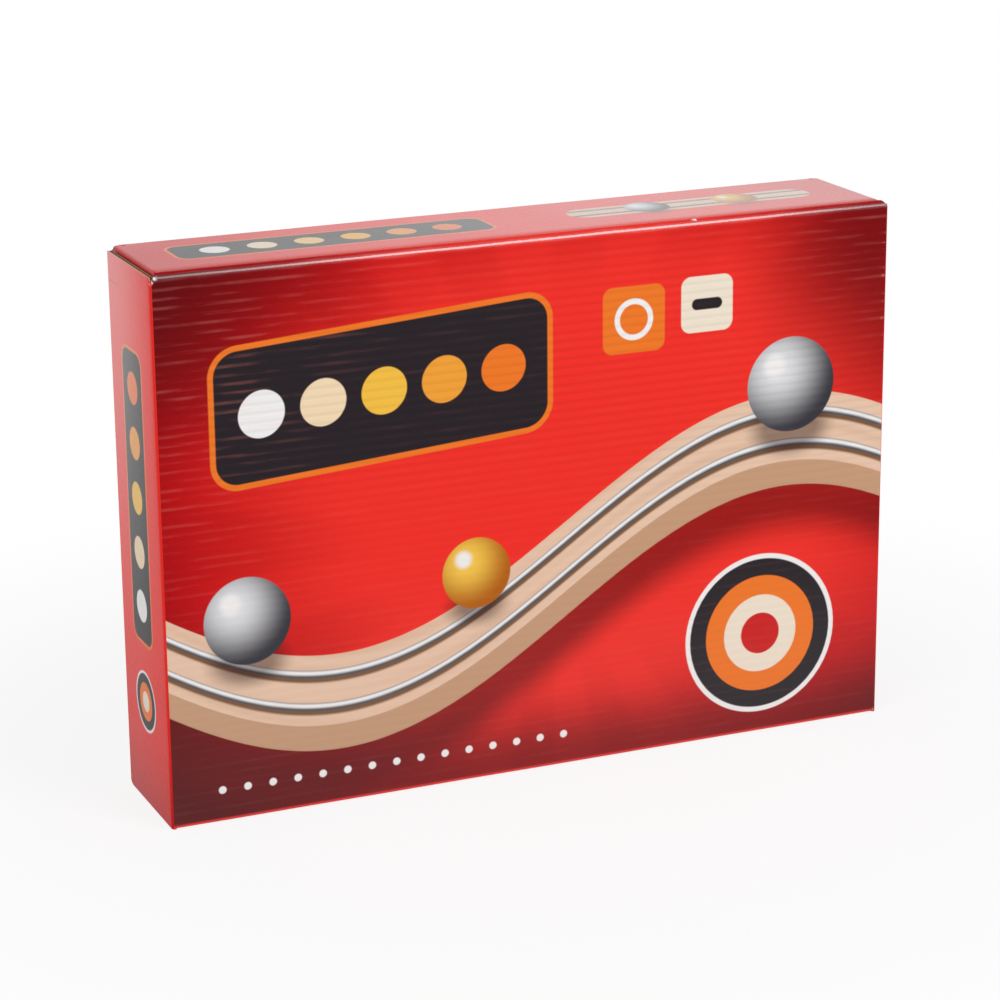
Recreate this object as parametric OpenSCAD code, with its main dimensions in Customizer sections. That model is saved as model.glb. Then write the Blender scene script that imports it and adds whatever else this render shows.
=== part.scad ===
// Boxed marble run game: a tuck-end carton with the wooden game packed inside.
// X runs along the carton, Y from the front panel to the back panel, Z up.
// The origin is at the middle of the underside.

/* [Carton] */
// Outside width, along X
carton_w = 300; // [290:1:360]
// Outside depth, front to back
carton_d = 55; // [53:0.5:80]
// Outside height
carton_h = 212; // [190:1:260]
// Thickness of the corrugated board
board_t = 1.6; // [1.2:0.1:2]
// Inside radius of the long folds
fold_in_r = 0.8; // [0.4:0.1:2]
// Gap between a panel's edge and the bead of its crease
crease_gap = 0.1; // [0.05:0.05:0.3]
// Gap between boards that lie one behind the other
lap_gap = 0.3; // [0.2:0.1:0.6]
// Width of the glue flap that closes the tube
glue_w = 16; // [10:1:22]

/* [End closures] */
// Gap above and below an end panel
end_gap = 0.7; // [0.4:0.1:2]
// Radius of an end panel's lower free corner
end_corner_r = 3; // [1:0.5:6]
// Radius of an end panel's upper free corner, at most the lower one's
end_top_r = 1; // [0.5:0.5:3]
// Length of a tuck flap
tuck_l = 16; // [12:1:18]
// Degrees past square that a tuck flap is folded
tuck_lean = 20; // [18:1:24]
// Slope of a tuck flap's ends, in mm
tuck_bevel = 8; // [3:1:14]
// Length of a dust flap
dust_l = 44; // [30:1:60]
// Set-back of a dust flap's front edge per mm of its length
dust_taper = 0.62; // [0.58:0.02:0.7]
// Space between a dust flap's back edge and the back panel
dust_back = 9; // [7:1:12]

/* [Game board] */
// Length of the base board
base_l = 232; // [200:1:240]
// Width of the base board and of the rear plate
base_w = 60; // [54:1:66]
// Thickness of the base board
base_t = 10; // [8:0.5:12]
// Diameter of a scoring cup
cup_d = 18.5; // [16:0.5:22]
// Depth of a scoring cup
cup_depth = 5; // [4.2:0.2:6]
// Distance from one cup to the next
cup_pitch = 35; // [28:0.5:36]
// Number of cups
cup_count = 6; // [3:1:6]
// Distance from the board's front end to the first cup
cup_start = 20; // [14:1:24]
// Width of a scored line
score_w = 0.9; // [0.5:0.1:1.5]
// Depth of a scored line
score_depth = 0.5; // [0.3:0.1:1]

/* [End plates] */
// Thickness of both upright plates
plate_t = 11; // [10:0.5:13]
// Width of the front plate
front_plate_w = 101; // [80:1:110]
// Height of the front plate
front_plate_h = 58; // [46:1:70]
// Radius of the plates' upper corners
plate_r = 6; // [2:0.5:8]
// Length of the front plate's slot
front_slot_w = 70; // [56:1:76]
// Height of the rear plate above the board
rear_plate_h = 28; // [26:0.5:32]
// Length of the rear plate's slot
rear_slot_w = 40; // [32:1:46]
// Height of both slots
slot_h = 9.5; // [8.5:0.5:10.5]
// Wall of the rear slot's liner
liner_t = 0.8; // [0.6:0.1:1.2]

/* [Rods] */
// Diameter of a rod
rod_d = 4; // [3:0.5:5]
// Height of the rods above the board
rod_rise = 17; // [15:0.5:18]
// Distance between the two pivots
rod_gap = 13; // [12:0.5:16]
// Degrees that each rod swings outwards
rod_swing = 6.5; // [3:0.5:7]
// Diameter of a rod's eye
eye_d = 8; // [7:0.5:10]
// Height of a rod's eye
eye_h = 5; // [4:0.5:6]
// Diameter of a pivot screw
pivot_d = 4; // [3:0.5:4.5]
// Radial running clearance of an eye on its pivot
run_gap = 0.05; // [0.02:0.01:0.1]
// Diameter of a handle
handle_d = 10; // [8:0.5:11]
// Length of a handle
handle_l = 60; // [45:1:75]
// Depth of a handle's bore
handle_bore = 35; // [20:1:40]
// Radius of a handle's ends
handle_r = 2; // [1:0.5:3]

/* [Ball and screws] */
// Diameter of the steel ball
ball_d = 16; // [14:0.5:19]
// Shank diameter of the plates' screws
screw_d = 3.5; // [3:0.5:4]
// Head diameter of the screws
screw_head_d = 7; // [6:0.5:8]
// Height of a screw's head
screw_head_h = 2.2; // [1.5:0.1:3]
// Length of a front plate screw below its head
front_screw_l = 28; // [20:1:35]
// Length of a front plate screw's point
screw_tip_l = 5; // [3:0.5:7]
// Depth that a rear plate screw goes into the plate
rear_screw_bite = 9; // [6:1:10]
// Radial clearance of the fixed fits
fit_gap = 0.05; // [0.03:0.01:0.15]

/* [Insert and leaflet] */
// Thickness of the insert's board
insert_t = 1.6; // [1.2:0.1:3]
// Clearance round the pieces in the insert
insert_gap = 0.3; // [0.2:0.1:0.8]
// Width of the leaflet
leaflet_w = 120; // [90:1:125]
// Height of the leaflet
leaflet_h = 82; // [60:1:90]
// Thickness of the folded leaflet
leaflet_t = 0.8; // [0.4:0.1:1.5]

/* [Hidden] */
$fn = 64;
eps = 0.01;
half_w = carton_w / 2;
half_d = carton_d / 2;
fold_r = board_t + fold_in_r;
bead_r = board_t / 2;
in_front = -half_d + board_t;
in_back = half_d - board_t;
in_floor = board_t;
in_top = carton_h - board_t;
// crease axes
end_axis_x = half_w - bead_r;
end_axis_y = -half_d + bead_r;
tuck_axis_y = in_back - lap_gap - bead_r;
dust_axis_x = end_axis_x - board_t - lap_gap;
dust_front = end_axis_y + bead_r + 1.2;
dust_rear = in_back - dust_back;
dust_root = in_back - fold_in_r - lap_gap;
// room that the tuck flaps leave to the contents
tuck_clear_x = end_axis_x - tuck_l * cos(tuck_lean) - board_t - 1.5;
tuck_clear_y = tuck_axis_y - tuck_l * sin(tuck_lean) - bead_r / cos(tuck_lean) - 1;
content_x = dust_axis_x - bead_r - 3;
// game, laid on the board's long edge with its upper side to the front
base_x1 = content_x;
base_x0 = base_x1 - base_l;
base_back = tuck_clear_y;
base_front = base_back - base_t;
rear_x0 = base_x1 - plate_t;
rear_top = base_front - rear_plate_h;
pivot_x = base_x1 - plate_t / 2;
rod_y = base_front - rod_rise;
handle_x0 = -content_x;
handle_x1 = handle_x0 + handle_l;
rod_end = handle_x1 - handle_bore + 0.2;
rod_reach = pivot_x - handle_x0;
swing_room = rod_reach * sin(rod_swing) + rod_gap / 2 + handle_d / 2 + 2;
game_z = in_floor + swing_room;
base_z0 = game_z - base_w / 2;
base_z1 = game_z + base_w / 2;
shelf_z = game_z + swing_room;
shelf_top = shelf_z + insert_t;
cradle_xs = [base_x0 + 0.13 * base_l, base_x1 - 0.26 * base_l];
// loose pieces above the shelf
front_x0 = -tuck_clear_x + 0.03 * front_plate_w;
front_x1 = front_x0 + front_plate_w;
front_mid = (front_x0 + front_x1) / 2;
front_y1 = in_back - 2;
front_y0 = front_y1 - plate_t;
slot_rise = base_t + rod_rise;
front_screw_dx = 0.2 * front_plate_w;
stow_pitch = 2 * screw_head_d;
stow_x = front_x1 + 1.7 * screw_head_d;
stow_y = base_back + screw_head_d / 2 + 0.3;
ball_x = stow_x + stow_pitch + 1.6 * ball_d;
ball_y = -4;
seat_d = 0.75 * ball_d;
ball_z = shelf_top + sqrt(pow(ball_d / 2, 2) - pow(seat_d / 2, 2)) + 0.15;
leaflet_x0 = tuck_clear_x - 0.03 * leaflet_w - leaflet_w;
leaflet_y1 = in_back - 0.3;
rear_screw_dz = 0.38 * base_w;
front_hole_d = screw_d + 2 * fit_gap;

// Extrude an outline drawn in Y and Z along X
module along_x(x0, x1) {
    translate([x0, 0, 0]) rotate([90, 0, 90]) linear_extrude(x1 - x0) children();
}

// Extrude an outline drawn in X and Z along Y
module along_y(y0, y1) {
    translate([0, y1, 0]) rotate([90, 0, 0]) linear_extrude(y1 - y0) children();
}

// A round bar along X
module bar_x(x0, x1, d) {
    translate([x0, 0, 0]) rotate([0, 90, 0]) cylinder(d = d, h = x1 - x0);
}

// A round bar along Y, which may taper
module bar_y(y0, y1, d0, d1) {
    translate([0, y0, 0]) rotate([-90, 0, 0]) cylinder(d1 = d0, d2 = d1, h = y1 - y0);
}

// Rectangle between two corners
module rect2d(a0, b0, a1, b1) {
    translate([a0, b0]) square([a1 - a0, b1 - b0]);
}

// Rectangle with four round corners
module round_rect2d(a0, b0, a1, b1, r) {
    rect2d(a0 + r, b0, a1 - r, b1);
    rect2d(a0, b0 + r, a1, b1 - r);
    for (a = [a0 + r, a1 - r])
        for (b = [b0 + r, b1 - r])
            translate([a, b]) circle(r);
}

// Slot with half-round ends, along its first axis
module slot2d(w, h) {
    rect2d(-w / 2 + h / 2, -h / 2, w / 2 - h / 2, h / 2);
    for (a = [-w / 2 + h / 2, w / 2 - h / 2])
        translate([a, 0]) circle(h / 2);
}

// Plate outline with its two upper corners round
module plate2d(w, h) {
    rect2d(-w / 2, 0, w / 2, h - plate_r);
    rect2d(-w / 2 + plate_r, 0, w / 2 - plate_r, h);
    for (a = [-w / 2 + plate_r, w / 2 - plate_r])
        translate([a, h - plate_r]) circle(plate_r);
}

// Cross-section of the carton's tube
module tube2d() {
    difference() {
        round_rect2d(-half_d, 0, half_d, carton_h, fold_r);
        round_rect2d(in_front, in_floor, in_back, in_top, fold_in_r);
    }
}

// The tube's long panels, parted at the middle of each fold
module front_panel() {
    color([0.80, 0.10, 0.08])
        along_x(-end_axis_x + bead_r + crease_gap, end_axis_x - bead_r - crease_gap)
            intersection() {
                tube2d();
                polygon([[-half_d - 1, -1], [0, half_d], [0, carton_h - half_d],
                         [-half_d - 1, carton_h + 1]]);
            }
}

module back_panel() {
    color([0.74, 0.09, 0.08])
        along_x(-end_axis_x + bead_r + crease_gap, end_axis_x - bead_r - crease_gap)
            intersection() {
                tube2d();
                polygon([[half_d + 1, -1], [half_d + 1, carton_h + 1], [0, carton_h - half_d],
                         [0, half_d]]);
            }
}

module top_panel() {
    color([0.85, 0.16, 0.14])
        along_x(-dust_axis_x + bead_r + crease_gap, dust_axis_x - bead_r - crease_gap)
            intersection() {
                tube2d();
                polygon([[-half_d - 1, carton_h + 1], [0, carton_h - half_d],
                         [half_d + 1, carton_h + 1]]);
            }
}

module bottom_panel() {
    color([0.70, 0.09, 0.07])
        along_x(-dust_axis_x + bead_r + crease_gap, dust_axis_x - bead_r - crease_gap)
            intersection() {
                tube2d();
                polygon([[-half_d - 1, -1], [half_d + 1, -1], [0, half_d]]);
            }
}

// Strip folded in from the back panel and glued to the bottom panel
module glue_flap() {
    color([0.72, 0.55, 0.36])
        along_x(-tuck_clear_x, tuck_clear_x)
            rect2d(in_back - fold_in_r - glue_w, in_floor, in_back - fold_in_r, in_floor + board_t);
}

// End panel with the bead of its crease; side is -1 at the left and 1 at the right
module end_panel(side) {
    y1 = tuck_axis_y - bead_r * (1 + sin(tuck_lean)) / cos(tuck_lean) - crease_gap;
    z0 = end_gap;
    z1 = carton_h - end_gap;
    top_r = min(end_top_r, end_corner_r);
    union() {
        along_x(side * end_axis_x - bead_r, side * end_axis_x + bead_r) {
            rect2d(end_axis_y, z0, y1 - end_corner_r, z1);
            rect2d(y1 - end_corner_r - eps, z0 + end_corner_r, y1, z1 - top_r);
            rect2d(y1 - end_corner_r - eps, z1 - top_r - eps, y1 - top_r, z1);
            translate([y1 - end_corner_r, z0 + end_corner_r]) circle(end_corner_r);
            translate([y1 - top_r, z1 - top_r]) circle(top_r);
        }
        translate([side * end_axis_x, end_axis_y, z0]) cylinder(r = bead_r, h = z1 - z0);
    }
}

// Tuck flap with the bead of its crease
module tuck_flap(side) {
    z0 = end_gap + end_corner_r + 1;
    z1 = carton_h - z0;
    translate([side * end_axis_x, tuck_axis_y, 0])
        rotate([0, 0, side < 0 ? -tuck_lean : 180 + tuck_lean])
            union() {
                along_y(-bead_r, bead_r)
                    polygon([[0, z0], [tuck_l, z0 + tuck_bevel], [tuck_l, z1 - tuck_bevel], [0, z1]]);
                translate([0, 0, z0]) cylinder(r = bead_r, h = z1 - z0);
            }
}

// Dust flap with the bead of its crease; dir is -1 for the upper flap and 1 for the lower
module dust_flap(side, dir) {
    z = dir < 0 ? carton_h - bead_r : bead_r;
    tip = z + dir * dust_l;
    union() {
        along_x(side * dust_axis_x - bead_r, side * dust_axis_x + bead_r)
            polygon([[dust_front, z], [dust_root, z], [dust_root, z + dir * 2],
                     [dust_rear, z + dir * 6], [dust_rear - 3, tip],
                     [dust_front + dust_taper * dust_l, tip]]);
        translate([side * dust_axis_x, 0, z]) bar_y(dust_front, dust_root, board_t, board_t);
    }
}

module left_end_panel() { color([0.83, 0.14, 0.12]) end_panel(-1); }
module right_end_panel() { color([0.83, 0.14, 0.12]) end_panel(1); }
module left_tuck_flap() { color([0.76, 0.20, 0.16]) tuck_flap(-1); }
module right_tuck_flap() { color([0.76, 0.20, 0.16]) tuck_flap(1); }
module left_upper_dust_flap() { color([0.76, 0.58, 0.38]) dust_flap(-1, -1); }
module left_lower_dust_flap() { color([0.76, 0.58, 0.38]) dust_flap(-1, 1); }
module right_upper_dust_flap() { color([0.76, 0.58, 0.38]) dust_flap(1, -1); }
module right_lower_dust_flap() { color([0.76, 0.58, 0.38]) dust_flap(1, 1); }

// Upright card with a notch that the board's long edges sit in
module cradle(x) {
    color([0.71, 0.53, 0.34])
        along_x(x - insert_t / 2, x + insert_t / 2)
            difference() {
                rect2d(base_front, in_floor + board_t, in_back - insert_gap, shelf_z);
                rect2d(base_front - 1, base_z0, base_back + insert_gap, base_z1 + insert_gap);
            }
}

module left_cradle() { cradle(cradle_xs[0]); }
module right_cradle() { cradle(cradle_xs[1]); }

// Shelf over the game, with the ball's seat and holes that the spare screws hang in
module insert_shelf() {
    color([0.74, 0.56, 0.36])
        difference() {
            translate([-tuck_clear_x, in_front + insert_gap, shelf_z])
                cube([2 * tuck_clear_x, in_back - in_front - 2 * insert_gap, insert_t]);
            translate([ball_x, ball_y, shelf_z - 1]) cylinder(d = seat_d, h = insert_t + 2);
            for (x = [stow_x, stow_x + stow_pitch])
                translate([x, stow_y, shelf_z - 1]) cylinder(d = front_hole_d, h = insert_t + 2);
        }
}

// Board with cups, scored lines, and the holes of its four screws
module base_board() {
    color([0.86, 0.70, 0.48])
        difference() {
            translate([base_x0, base_front, base_z0]) cube([base_l, base_t, base_w]);
            for (i = [0 : cup_count - 1])
                translate([base_x0 + cup_start + i * cup_pitch, 0, game_z])
                    bar_y(base_front - 1, base_front + cup_depth, cup_d, cup_d);
            for (i = [1 : cup_count - 1])
                translate([base_x0 + cup_start + (i - 0.5) * cup_pitch - score_w / 2,
                           base_front - 1, base_z0 + 4])
                    cube([score_w, 1 + score_depth, base_w - 8]);
            for (z = [game_z - rear_screw_dz, game_z + rear_screw_dz])
                translate([pivot_x, 0, z]) {
                    bar_y(base_front - 1, base_back + 1, front_hole_d, front_hole_d);
                    bar_y(base_back - screw_head_h, base_back,
                          front_hole_d, screw_head_d + 2 * fit_gap);
                }
            for (z = [game_z - front_screw_dx, game_z + front_screw_dx])
                translate([0, base_front + base_t / 2, z])
                    bar_x(base_x0 - 1, base_x0 + front_screw_l - plate_t + 6, 2.6);
        }
}

// Upright at the board's far end; its slot takes the rods' eyes
module rear_plate() {
    color([0.84, 0.67, 0.45])
        difference() {
            translate([rear_x0, base_front, game_z])
                rotate([90, 0, 90]) rotate([0, 0, 90])
                    linear_extrude(plate_t) plate2d(base_w, rear_plate_h);
            translate([rear_x0 - 1, rod_y, game_z])
                rotate([90, 0, 90]) rotate([0, 0, 90])
                    linear_extrude(plate_t + 2) slot2d(rear_slot_w, slot_h);
            for (z = [game_z - rod_gap / 2, game_z + rod_gap / 2])
                translate([pivot_x, 0, z])
                    bar_y(rear_top - 1, rod_y + slot_h / 2 + 7, pivot_d + 2 * fit_gap,
                          pivot_d + 2 * fit_gap);
            for (z = [game_z - rear_screw_dz, game_z + rear_screw_dz])
                translate([pivot_x, 0, z])
                    bar_y(base_front - rear_screw_bite - 0.5, base_front + 1, front_hole_d, front_hole_d);
        }
}

// Dark lining of the rear plate's slot
module slot_liner() {
    color([0.08, 0.08, 0.09])
        difference() {
            translate([rear_x0, rod_y, game_z])
                rotate([90, 0, 90]) rotate([0, 0, 90])
                    linear_extrude(plate_t)
                        difference() {
                            slot2d(rear_slot_w - 2 * fit_gap, slot_h - 2 * fit_gap);
                            slot2d(rear_slot_w - 2 * liner_t, slot_h - 2 * liner_t);
                        }
            for (z = [game_z - rod_gap / 2, game_z + rod_gap / 2])
                translate([pivot_x, 0, z])
                    bar_y(rod_y - slot_h, rod_y + slot_h, pivot_d + 2 * fit_gap, pivot_d + 2 * fit_gap);
        }
}

// Cross recess of a screw driven along +Y, cut from y downwards into the head
module cross_recess(y) {
    translate([-0.45, y - eps, -screw_head_d * 0.3]) cube([0.9, 1.2, screw_head_d * 0.6]);
    translate([-screw_head_d * 0.3, y - eps, -0.45]) cube([screw_head_d * 0.6, 1.2, 0.9]);
}

// Two countersunk screws that hold the rear plate down to the board
module rear_plate_screws() {
    color([0.62, 0.62, 0.60])
        for (z = [game_z - rear_screw_dz, game_z + rear_screw_dz])
            translate([pivot_x, 0, z])
                difference() {
                    union() {
                        bar_y(base_front - rear_screw_bite, base_back, screw_d, screw_d);
                        bar_y(base_back - screw_head_h, base_back, screw_d, screw_head_d);
                    }
                    mirror([0, 1, 0]) cross_recess(-base_back);
                }
}

// Two screws with plain shanks that the rods turn on
module pivot_screws() {
    color([0.66, 0.66, 0.65])
        for (z = [game_z - rod_gap / 2, game_z + rod_gap / 2])
            translate([pivot_x, 0, z])
                difference() {
                    union() {
                        bar_y(rear_top - eps, rod_y + slot_h / 2 + 6.5, pivot_d, pivot_d);
                        bar_y(rear_top - screw_head_h, rear_top, screw_head_d * 0.8, screw_head_d);
                    }
                    cross_recess(rear_top - screw_head_h);
                }
}

// Rod with an eye at its pivot, straight into its handle
module rod(z) {
    color([0.78, 0.79, 0.80])
        difference() {
            union() {
                translate([0, rod_y, z]) bar_x(rod_end, pivot_x - eye_d / 2 + 1.2, rod_d);
                translate([pivot_x, 0, z]) bar_y(rod_y - eye_h / 2, rod_y + eye_h / 2, eye_d, eye_d);
            }
            translate([pivot_x, 0, z])
                bar_y(rod_y - eye_h, rod_y + eye_h, pivot_d + 2 * run_gap, pivot_d + 2 * run_gap);
        }
}

// Turned handle with round ends and a blind bore for its rod
module handle(z) {
    r = handle_d / 2;
    color([0.55, 0.33, 0.20])
        translate([handle_x0, rod_y, z])
            rotate([0, 90, 0])
                difference() {
                    rotate_extrude()
                        union() {
                            rect2d(0, 0, r - handle_r, handle_l);
                            rect2d(0, handle_r, r, handle_l - handle_r);
                            for (h = [handle_r, handle_l - handle_r])
                                translate([r - handle_r, h]) circle(handle_r);
                        }
                    translate([0, 0, handle_l - handle_bore])
                        cylinder(d = rod_d + 2 * fit_gap, h = handle_bore + 1);
                }
}

module upper_rod() { rod(game_z + rod_gap / 2); }
module lower_rod() { rod(game_z - rod_gap / 2); }
module upper_handle() { handle(game_z + rod_gap / 2); }
module lower_handle() { handle(game_z - rod_gap / 2); }

// Upright at the player's end, packed loose on the shelf
module front_plate() {
    color([0.86, 0.69, 0.47])
        difference() {
            translate([front_mid, 0, shelf_top])
                along_y(front_y0, front_y1) plate2d(front_plate_w, front_plate_h);
            translate([front_mid, 0, shelf_top + slot_rise])
                along_y(front_y0 - 1, front_y1 + 1) slot2d(front_slot_w, slot_h);
            for (x = [front_mid - front_screw_dx, front_mid + front_screw_dx])
                translate([x, 0, shelf_top + base_t / 2]) {
                    bar_y(front_y0 - 1, front_y1 + 1, front_hole_d, front_hole_d);
                    bar_y(front_y0 - 1, front_y0 + 3, screw_head_d + 0.6, screw_head_d + 0.6);
                }
        }
}

// Two spare screws for the front plate, hanging by their heads in the shelf
module front_plate_screws() {
    color([0.62, 0.62, 0.60])
        for (x = [stow_x, stow_x + stow_pitch])
            translate([x, stow_y, shelf_top + 0.05])
                difference() {
                    union() {
                        cylinder(d1 = screw_head_d, d2 = screw_head_d * 0.7, h = screw_head_h);
                        translate([0, 0, screw_tip_l - front_screw_l])
                            cylinder(d = screw_d, h = front_screw_l - screw_tip_l + screw_head_h / 2);
                        translate([0, 0, -front_screw_l])
                            cylinder(d1 = 0.2 * screw_d, d2 = screw_d, h = screw_tip_l + eps);
                    }
                    rotate([-90, 0, 0]) cross_recess(-screw_head_h);
                }
}

// Ball in its seat on the shelf
module steel_ball() {
    color([0.80, 0.81, 0.82])
        translate([ball_x, ball_y, ball_z]) sphere(d = ball_d);
}

// Folded rules, standing on the shelf against the back panel
module rules_leaflet() {
    color([0.93, 0.92, 0.89])
        translate([leaflet_x0, leaflet_y1 - leaflet_t, shelf_top])
            cube([leaflet_w, leaflet_t, leaflet_h]);
}

front_panel();
top_panel();
back_panel();
bottom_panel();
glue_flap();
left_end_panel();
left_tuck_flap();
left_upper_dust_flap();
left_lower_dust_flap();
right_end_panel();
right_tuck_flap();
right_upper_dust_flap();
right_lower_dust_flap();
left_cradle();
right_cradle();
insert_shelf();
base_board();
rear_plate();
slot_liner();
rear_plate_screws();
pivot_screws();
upper_rod();
lower_rod();
upper_handle();
lower_handle();
front_plate();
front_plate_screws();
steel_ball();
rules_leaflet();
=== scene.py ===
# %% [markdown]
# # A boxed marble run game
# The object is a glossy red carton of thin corrugated board with a wooden marble game packed inside it.
# The solids of the carton and of the game come in as a fixed frame, and this lesson gives them their looks:
# the carton's sheet is made again with its ripples, round folds and cut edges, and every other piece gets
# a finish. X runs to the right, Y to the back and Z up. Blender counts in metres, but a carton is easier to
# think of in millimetres, so most sizes here are millimetres, and MM turns them into metres in a mesh.

import bmesh
import bpy
import numpy as np
from mathutils import Matrix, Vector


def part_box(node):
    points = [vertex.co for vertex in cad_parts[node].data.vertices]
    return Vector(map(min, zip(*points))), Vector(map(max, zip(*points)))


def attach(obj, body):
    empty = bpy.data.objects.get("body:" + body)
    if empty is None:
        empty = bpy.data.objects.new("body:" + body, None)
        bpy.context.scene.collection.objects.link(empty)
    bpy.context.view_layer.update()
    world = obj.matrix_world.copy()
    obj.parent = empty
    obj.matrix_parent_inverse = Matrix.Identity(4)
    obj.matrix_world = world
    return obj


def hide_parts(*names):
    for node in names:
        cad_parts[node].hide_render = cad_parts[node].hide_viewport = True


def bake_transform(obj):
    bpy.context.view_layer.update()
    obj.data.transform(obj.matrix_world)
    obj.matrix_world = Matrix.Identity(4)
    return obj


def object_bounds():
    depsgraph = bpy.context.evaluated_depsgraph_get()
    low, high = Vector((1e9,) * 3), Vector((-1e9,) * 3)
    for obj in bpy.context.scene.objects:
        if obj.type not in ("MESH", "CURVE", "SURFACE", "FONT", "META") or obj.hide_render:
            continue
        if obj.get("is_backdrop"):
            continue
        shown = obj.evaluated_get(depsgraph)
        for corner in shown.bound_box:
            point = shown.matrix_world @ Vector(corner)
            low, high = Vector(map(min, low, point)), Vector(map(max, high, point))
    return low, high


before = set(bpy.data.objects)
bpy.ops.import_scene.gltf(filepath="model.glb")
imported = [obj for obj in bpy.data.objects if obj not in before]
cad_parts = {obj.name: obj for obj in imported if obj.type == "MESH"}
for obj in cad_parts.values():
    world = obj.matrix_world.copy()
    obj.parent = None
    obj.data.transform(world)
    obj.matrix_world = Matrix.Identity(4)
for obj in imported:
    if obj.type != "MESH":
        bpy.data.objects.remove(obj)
cad_box = [list(corner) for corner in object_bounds()]
MM = 0.001
bpy.context.scene.view_settings.view_transform = "Standard"

# %% [markdown]
# ## The camera
# The photograph was taken from the front left and a little above, with a long lens. The carton's outline and
# its folds are straight lines, and fitting those lines gave the angle, the distance and the lens. A camera's
# rotation can be typed as angles, but building it from three directions (right, up and back) is easier to
# check by hand, and the lamps can be turned in the same way.

# %% Camera
AZIMUTH, ELEVATION, ROLL = np.radians([-23.26, 16.77, -0.56])
AIM, DISTANCE = np.array([-0.0042, 0.0, 0.1026]), 1.237
SENSOR, LENS = 36.0, 114.7


def put_in_scene(name, data):
    """A new object that holds a mesh, a lamp or a camera."""
    thing = bpy.data.objects.new(name, data)
    bpy.context.scene.collection.objects.link(thing)
    return thing


def level_axes(back):
    """Right and up of a thing that stands level: right is square to the upright and to back, up to both."""
    right = np.cross([0.0, 0.0, 1.0], back)
    right /= np.linalg.norm(right)
    return right, np.cross(back, right)


def turn_to(thing, right, up, back, at):
    """Gives an object its three directions and its place, as the columns of its matrix."""
    thing.matrix_world = Matrix([list(row) for row in zip(right, up, back, at)] + [[0, 0, 0, 1]])


# Back points from the aim to the camera: azimuth turns it from the front (-Y) to the right and elevation
# lifts it. Roll then turns right and up round it.
across, lift = np.cos(ELEVATION), np.sin(ELEVATION)
back = np.array([np.sin(AZIMUTH) * across, -np.cos(AZIMUTH) * across, lift])
right, up = level_axes(back)
stand = AIM + DISTANCE * back
camera_data = bpy.data.cameras.new("photo_camera")
camera_data.sensor_width, camera_data.lens = SENSOR, LENS
camera_data.clip_start, camera_data.clip_end = 0.05, 50.0
camera = put_in_scene("photo_camera", camera_data)
rolled = right * np.cos(ROLL) + up * np.sin(ROLL), up * np.cos(ROLL) - right * np.sin(ROLL)
turn_to(camera, *rolled, back, stand)
bpy.context.scene.camera = camera
print("camera stands at", np.round(stand, 3))

# %% [markdown]
# ## Writing shaders as sums
# A print is a long sum of masks: a disc here, a band there. Wiring such nodes by hand is slow and hard to
# read, so one small class holds a socket and turns +, -, *, / and ** into Math nodes. Every other node goes
# through its `node` method, which sets a node's options first and its sockets after that.

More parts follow.
